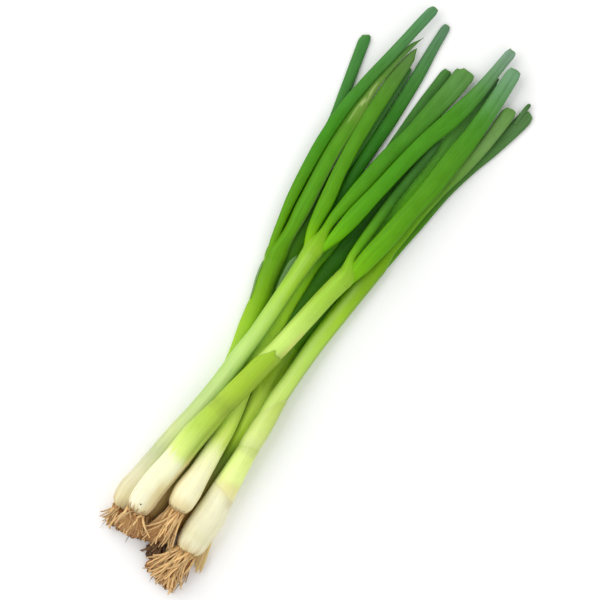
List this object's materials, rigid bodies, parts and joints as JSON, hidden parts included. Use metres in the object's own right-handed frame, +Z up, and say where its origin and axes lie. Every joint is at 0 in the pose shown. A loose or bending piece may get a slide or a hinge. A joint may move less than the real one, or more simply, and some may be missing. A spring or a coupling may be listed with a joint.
{
  "type": "spring onion bunch",
  "caption": "Bunch of spring onions with white bulbs, fine roots, pale green stems and long hollow green leaves, lying down untied.",
  "frame": {"origin": "on the surface that the bunch lies on, under the middle of its outer box", "axes": "+Y along the bunch from the roots to the leaf tips, +Z up, +X to the right as seen from above with the leaf tips away"},
  "size_m": [0.1161, 0.387, 0.0297],
  "materials": {
    "bulb_and_stem": "satin plant skin, cream white at the bulb and pale yellow green up the stem, with fine lengthwise veins",
    "leaf": "satin green leaf with fine lengthwise veins and a bluish wax bloom towards its cut end",
    "dark_leaf": "satin dark green leaf with fine lengthwise veins and a bluish wax bloom",
    "root": "dull dry root, straw coloured and reddish brown at the root plate",
    "dark_root": "dull dark brown root"
  },
  "bodies": {
    "root": {"stem_left": "bulb_and_stem", "stem_front": "bulb_and_stem", "stem_middle": "bulb_and_stem", "stem_right": "bulb_and_stem", "stem_outer": "bulb_and_stem", "stem_under": "bulb_and_stem", "leaf_left_1": "leaf", "leaf_left_2": "leaf", "leaf_left_3": "leaf", "leaf_front_1": "leaf", "leaf_front_2": "leaf", "leaf_middle_1": "dark_leaf", "leaf_middle_2": "dark_leaf", "leaf_right_1": "leaf", "leaf_right_2": "dark_leaf", "leaf_outer_1": "leaf", "leaf_outer_2": "leaf", "leaf_outer_3": "dark_leaf", "leaf_outer_4": "dark_leaf", "leaf_under_1": "dark_leaf", "leaf_under_2": "dark_leaf", "roots_left": "root", "roots_front": "root", "roots_middle": "root", "roots_right": "root", "roots_outer": "root", "roots_under": "dark_root"}
  },
  "joints": []
}
